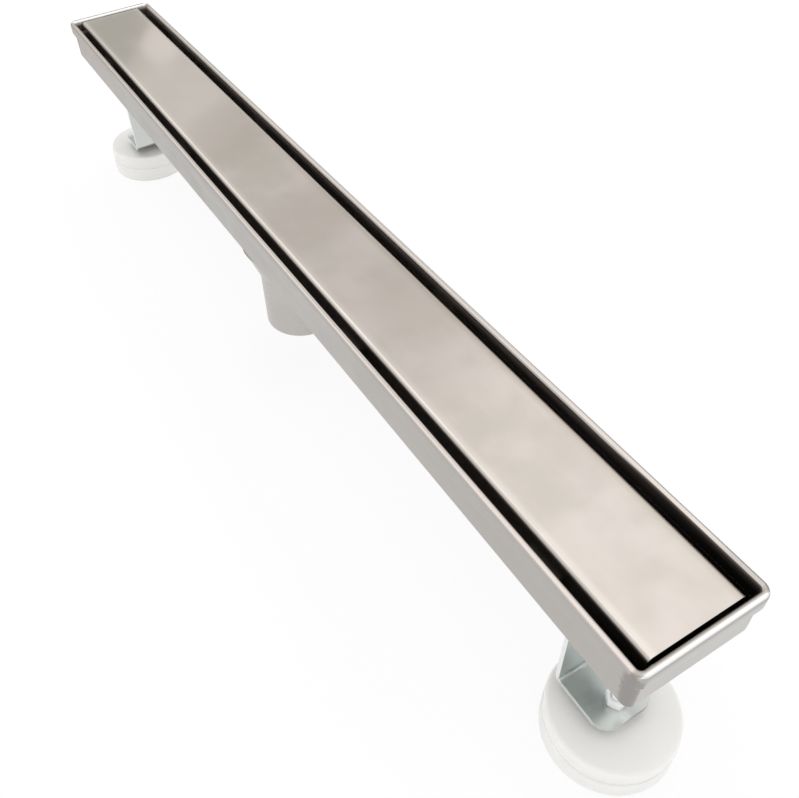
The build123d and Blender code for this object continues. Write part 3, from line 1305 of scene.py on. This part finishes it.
class WeldTree(PieceTree):
    """Round weld bead: a ring of overlapping ripples, based on its middle."""

    NAME = "weld_bead"
    SIZES = ("Radius", "Thickness", "Ripples", "Swell")
    STEPS = 432
    SIDES = 10
    RISE: Span = (0.0, 0.85)
    LEAN = 0.3
    WANDER = 0.5
    WANDER_SCALE = 90.0

    def shape(self, graph: Graph, given: dict[str, Wire]) -> Wire:
        """Writes the bead.

        Args:
            graph: the tree to write in.
            given: the tree's inputs by name.

        Returns:
            The bead.
        """
        radius, thickness, ripples, swell = (given[name] for name in self.SIZES)
        circle = "GeometryNodeCurvePrimitiveCircle"
        path = graph.node(circle, None, {"Resolution": self.STEPS, "Radius": radius}, "Curve")
        round_bar = graph.node(circle, None, {"Resolution": self.SIDES, "Radius": thickness}, "Curve")
        swept = {"Curve": path, "Profile Curve": round_bar}
        ring = graph.node("GeometryNodeCurveToMesh", None, swept, "Mesh")
        spot = graph.node("GeometryNodeInputPosition")
        x, y, z = graph.parts(spot)
        across = (x * x + y * y) ** 0.5
        turn = y.angle_with(x) / FULL_TURN
        wander = graph.node("ShaderNodeTexNoise", None, {"Vector": spot, "Scale": self.WANDER_SCALE}, "Fac")
        ripple = (turn * ripples + z / thickness * self.LEAN + wander * self.WANDER).fraction()
        size = 1.0 + (ripple.ramp(*self.RISE) - 0.5) * swell
        widened = (radius + (across - radius) * size) / across
        bead = graph.node("ShaderNodeCombineXYZ", None, {0: x * widened, 1: y * widened, 2: z * size})
        return graph.node("GeometryNodeSetPosition", None, {"Geometry": ring, "Position": bead})


class Side(Enum):
    """End of the channel that a leg stands under."""

    LEFT = "left"
    RIGHT = "right"


@dataclass
class Leg:
    """One leg: folded bracket, levelling foot, foot bolt, nuts and the stud that holds the flange."""

    side: Side
    finishes: Finishes
    thread: ThreadTree
    pitch: float = 1.0 * MM
    groove: float = 0.6 * MM
    head_height: float = 4.0 * MM
    head_hole_share: float = 0.5
    nut_crease: float = 25.0
    bolt_crease: float = 40.0

    def node(self, word: str) -> str:
        """Name of one of this leg's solids."""
        return f"{self.side.value}_{word}"

    def radius(self) -> float:
        """Radius of the leg's screws, which is the stud's."""
        low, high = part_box(self.node("weld_stud"))
        return (high.x - low.x) / 2.0

    def on_axis(self, level: float) -> Vector:
        """Point at a height on the axis of the leg's screws."""
        low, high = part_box(self.node("weld_stud"))
        return Vector(((low.x + high.x) / 2.0, 0.0, level))

    def nuts(self) -> None:
        """Puts a chamfered nut in the place of each plain one."""
        for word in ("upper_nut", "lower_nut", "flange_nut"):
            low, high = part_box(self.node(word))
            build = HexNut(high.x - low.x, high.z - low.z, self.radius()).build((low + high) / 2.0)
            piece = mesh_piece(self.node(word) + "_hex", build, self.finishes.fixing, self.nut_crease)
            self.seat(piece, word, "drain")

    def rod(self, foot: float, top: float) -> bpy.types.Mesh:
        """Makes a threaded rod on the leg's axis.

        Args:
            foot: height of its lower end.
            top: height of its upper end.

        Returns:
            The mesh.
        """
        sizes = {"Length": top - foot, "Radius": self.radius(), "Pitch": self.pitch, "Depth": self.groove}
        return self.thread.mesh(self.on_axis(foot), sizes, self.finishes.fixing)

    def screws(self) -> None:
        """Threads the stud and the foot bolt."""
        low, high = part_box(self.node("weld_stud"))
        stud = in_scene(self.node("weld_stud") + "_thread", self.rod(low.z, high.z))
        self.seat(stud, "weld_stud", "drain")
        low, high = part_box(self.node("foot_bolt"))
        head = HexNut(high.x - low.x, self.head_height, self.radius() * self.head_hole_share)
        build = head.build(self.on_axis(low.z + self.head_height / 2.0))
        shank = self.rod(low.z + self.head_height, high.z)
        build.from_mesh(shank)
        bpy.data.meshes.remove(shank)
        bolt = mesh_piece(self.node("foot_bolt") + "_thread", build, self.finishes.fixing, self.bolt_crease)
        self.seat(bolt, "foot_bolt", self.node("foot"))

    def seat(self, piece: bpy.types.Object, word: str, body: str) -> None:
        """Lets a piece stand for a solid.

        Args:
            piece: the finished piece.
            word: the solid's name without its side.
            body: body that carries it.
        """
        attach(piece, body)
        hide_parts(self.node(word))
        LOG.info("%s stands for %s", piece.name, self.node(word))

    def dress(self) -> None:
        """Finishes the whole leg."""
        wear(self.node("bracket"), self.finishes.strip)
        wear(self.node("foot"), self.finishes.plastic)
        wear(self.node("flange_washer"), self.finishes.fixing)
        self.nuts()
        self.screws()


@dataclass
class Trough:
    """Channel, cover, cover rests, outlet with its weld, and strainer."""

    finishes: Finishes
    rests: int = 4
    crease: float = 40.0
    bead: float = 0.9 * MM
    bead_out_share: float = 0.3
    bead_sunk_share: float = 0.5
    ripple: float = 1.6 * MM
    swell: float = 0.22

    def dress(self) -> None:
        """Finishes the sheet-metal pieces."""
        self.channel()
        wear("cover_panel", self.finishes.cover)
        wear("outlet_spigot", self.finishes.outlet)
        # The strainer and cover rests wear the near-black sheet, painted shade
        wear("hair_strainer", self.finishes.hidden)
        for number in range(1, self.rests + 1):
            wear(f"cover_rest_{number}", self.finishes.hidden)
        self.weld()

    def channel(self) -> None:
        """Folds the channel's sheet."""
        build = ChannelSheet().build(*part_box("channel_body"))
        piece = mesh_piece("channel_fold", build, self.finishes.channel, self.crease)
        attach(piece, "drain")
        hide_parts("channel_body")
        LOG.info("%s stands for channel_body, %d faces", piece.name, len(piece.data.polygons))

    def weld(self) -> None:
        """Lays the bead between the outlet's lip and the channel."""
        low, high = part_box("outlet_spigot")
        radius = (high.x - low.x) / 2.0 + self.bead * self.bead_out_share
        ripples = float(round(FULL_TURN * radius / self.ripple))
        sizes = {"Radius": radius, "Thickness": self.bead, "Ripples": ripples, "Swell": self.swell}
        base = Vector((0.0, 0.0, high.z - self.bead * self.bead_sunk_share))
        piece = in_scene("outlet_weld", WeldTree().mesh(base, sizes, self.finishes.weld))
        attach(piece, "drain")
        LOG.info("%s has %d ripples", piece.name, ripples)


@dataclass(frozen=True)
class Viewpoint:
    """Camera of the photograph, in metres and pixels."""

    place: Vector
    right: Vector
    forward: Vector
    focal_px: float
    centre_px: Point
    image_px: Point = (799.0, 798.0)
    sensor: float = 36.0
    clip: Span = (0.01, 50.0)

    def build(self) -> None:
        """Makes the camera and gives it to the scene."""
        data = bpy.data.cameras.new("camera")
        wide, tall = self.image_px
        data.sensor_fit = "HORIZONTAL"
        data.sensor_width = self.sensor
        data.lens = self.focal_px * self.sensor / wide
        data.shift_x = (wide / 2.0 - self.centre_px[0]) / wide
        data.shift_y = (self.centre_px[1] - tall / 2.0) / wide
        data.clip_start, data.clip_end = self.clip
        right = self.right.normalized()
        back = -(self.forward - right * self.forward.dot(right)).normalized()
        up = back.cross(right)
        turn = Matrix((right, up, back)).transposed().to_4x4()
        camera = in_scene("camera", data)
        camera.matrix_world = Matrix.Translation(self.place) @ turn
        bpy.context.scene.camera = camera


@dataclass(frozen=True)
class SoftBox:
    """Soft rectangular lamp, whose glow is 1 where its face is white."""

    name: str
    place: Vector
    target: Vector
    size: Point
    glow: float

    def hang(self) -> None:
        """Puts the lamp in the scene, facing its target."""
        data = bpy.data.lights.new(self.name, "AREA")
        data.shape = "RECTANGLE"
        data.size, data.size_y = self.size
        data.energy = self.glow * math.pi * self.size[0] * self.size[1]
        facing = (self.target - self.place).to_track_quat("-Z", "Y").to_matrix().to_4x4()
        in_scene(self.name, data).matrix_world = Matrix.Translation(self.place) @ facing


@dataclass(frozen=True)
class FloorArea:
    """Area of the floor, as the spans over which it fades in along X and along Y."""

    along: Span
    across: Span

    def mask(self, x: Wire, y: Wire) -> Wire:
        """1 on the area."""
        return x.ramp(*self.along) * y.ramp(*self.across)


@dataclass
class Studio:
    """White floor, white room and soft lamps, with a board and dim floor that only mirrored rays see."""

    ambient: float = 0.80
    floor_reach: float = 12.0
    floor_tone: Colour = (0.93, 0.93, 0.93)
    floor_glow: float = 0.85
    mirrored_glow: float = 0.45
    dark_right: FloorArea = FloorArea((0.36, 0.30), (0.07, 0.12))
    dark_far: FloorArea = FloorArea((-0.39, -0.44), (-0.06, -0.02))
    dark_share: float = 0.40
    dark_level: float = 0.1
    dim_left: FloorArea = FloorArea((0.05, -0.55), (-0.02, -0.06))
    left_dim: float = 0.32
    board_place: Place = (-2.6, 0.4, 0.54)
    board_size: Point = (1.08, 3.6)
    board_tone: Colour = (1.0, 0.99, 0.94)
    board_glow: float = 0.60

    @staticmethod
    def rays(graph: Graph) -> tuple[Wire, Wire]:
        """Tells rays apart.

        Args:
            graph: tree to ask in.

        Returns:
            1 for rays from the camera, and 1 for those that show a mirrored or a passed image.
        """
        path = graph.node("ShaderNodeLightPath").socket.node.outputs
        mirrored = Wire(graph, path["Is Glossy Ray"]).most(Wire(graph, path["Is Transmission Ray"]))
        return Wire(graph, path["Is Camera Ray"]), mirrored

    def floor(self) -> None:
        """Lays the floor."""
        build = bmesh.new()
        bmesh.ops.create_grid(build, x_segments=2, y_segments=2, size=self.floor_reach / 2.0)
        material = bpy.data.materials.new("floor_white")
        graph = emptied(material)
        direct, mirrored = self.rays(graph)
        x, y, _ = graph.parts(graph.node("ShaderNodeTexCoord", None, None, "Object"))
        # Painted shade on floor areas round the drain, seen only in mirrored rays
        dark = self.dark_right.mask(x, y).most(self.dark_far.mask(x, y)) * mirrored
        left = self.dim_left.mask(x, y) * mirrored
        share = (direct * self.floor_glow).most(mirrored * self.mirrored_glow + dark * self.dark_share)
        level = 1.0 - dark * (1.0 - self.dark_level) - left * self.left_dim
        matt = graph.node("ShaderNodeBsdfDiffuse", None, {"Color": solid(self.floor_tone)})
        tone = graph.blend(level, BLACK, WHITE)
        glow = graph.node("ShaderNodeEmission", None, {"Color": tone, "Strength": 1.0})
        both = graph.node("ShaderNodeMixShader", None, {0: share, 1: matt, 2: glow})
        graph.node("ShaderNodeOutputMaterial", None, {"Surface": both})
        mesh_piece("floor", build, material)

    def world(self) -> None:
        """Lights the surroundings."""
        world = bpy.data.worlds.new("white_room")
        graph = emptied(world)
        direct, mirrored = self.rays(graph)
        seen = direct.most(mirrored)
        strength = seen + (1.0 - seen) * self.ambient
        sky = graph.node("ShaderNodeBackground", None, {"Color": solid(WHITE), "Strength": strength})
        graph.node("ShaderNodeOutputWorld", None, {"Surface": sky})
        bpy.context.scene.world = world

    def board(self) -> None:
        """Stands a grey board past the far end, which only mirrored rays see."""
        build = bmesh.new()
        bmesh.ops.create_grid(build, x_segments=1, y_segments=1, size=0.5)
        stand = Matrix.Translation(self.board_place) @ Matrix.Rotation(math.pi / 2.0, 4, "Y")
        stretch = Matrix.Diagonal((*self.board_size, 1.0, 1.0))
        bmesh.ops.transform(build, matrix=stand @ stretch, verts=build.verts)
        material = bpy.data.materials.new("grey_board")
        graph = emptied(material)
        mirrored = self.rays(graph)[1]
        lit = {"Color": solid(self.board_tone), "Strength": self.board_glow}
        grey = graph.node("ShaderNodeEmission", None, lit)
        clear = graph.node("ShaderNodeBsdfTransparent")
        both = graph.node("ShaderNodeMixShader", None, {0: mirrored, 1: clear, 2: grey})
        graph.node("ShaderNodeOutputMaterial", None, {"Surface": both})
        mesh_piece("grey_board", build, material)

    @staticmethod
    def lamps() -> list[SoftBox]:
        """Lists the soft lamps."""
        return [
            SoftBox("key", Vector((0.31, 0.95, 1.45)), Vector((0.31, 0.0, 0.1)), (2.18, 0.9), 0.85),
            SoftBox("overhead", Vector((-1.1, -0.25, 1.5)), Vector((-1.1, -0.25, 0.0)), (3.6, 1.0), 0.75),
            SoftBox("near", Vector((0.1, -0.1, 1.5)), Vector((0.1, -0.1, 0.0)), (1.0, 0.9), 1.0),
            SoftBox("front", Vector((1.3, -0.9, 0.55)), Vector((0.33, 0.0, 0.05)), (1.0, 0.6), 0.5),
            SoftBox("side", Vector((-2.2, 1.9, 0.9)), Vector((0.0, 0.0, 0.1)), (1.8, 1.2), 0.4),
        ]

    def build(self) -> None:
        """Sets up the whole studio."""
        bpy.context.scene.view_settings.view_transform = "Standard"
        self.world()
        self.floor()
        self.board()
        for lamp in self.lamps():
            lamp.hang()


def main() -> None:
    """Builds, dresses, lights and frames the drain."""
    logging.basicConfig(level=logging.INFO, format="%(name)s: %(message)s")
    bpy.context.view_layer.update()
    finishes = Finishes.mix()
    Trough(finishes).dress()
    thread = ThreadTree()
    for side in Side:
        Leg(side, finishes, thread).dress()
    Studio().build()
    Viewpoint(
        place=Vector((0.42693, -0.18280, 0.44614)),
        right=Vector((0.50917, 0.85963, -0.04233)),
        forward=Vector((-0.62092, 0.33283, -0.70971)),
        focal_px=863.28,
        centre_px=(363.87, 371.56),
    ).build()


if __name__ == "__main__":
    main()
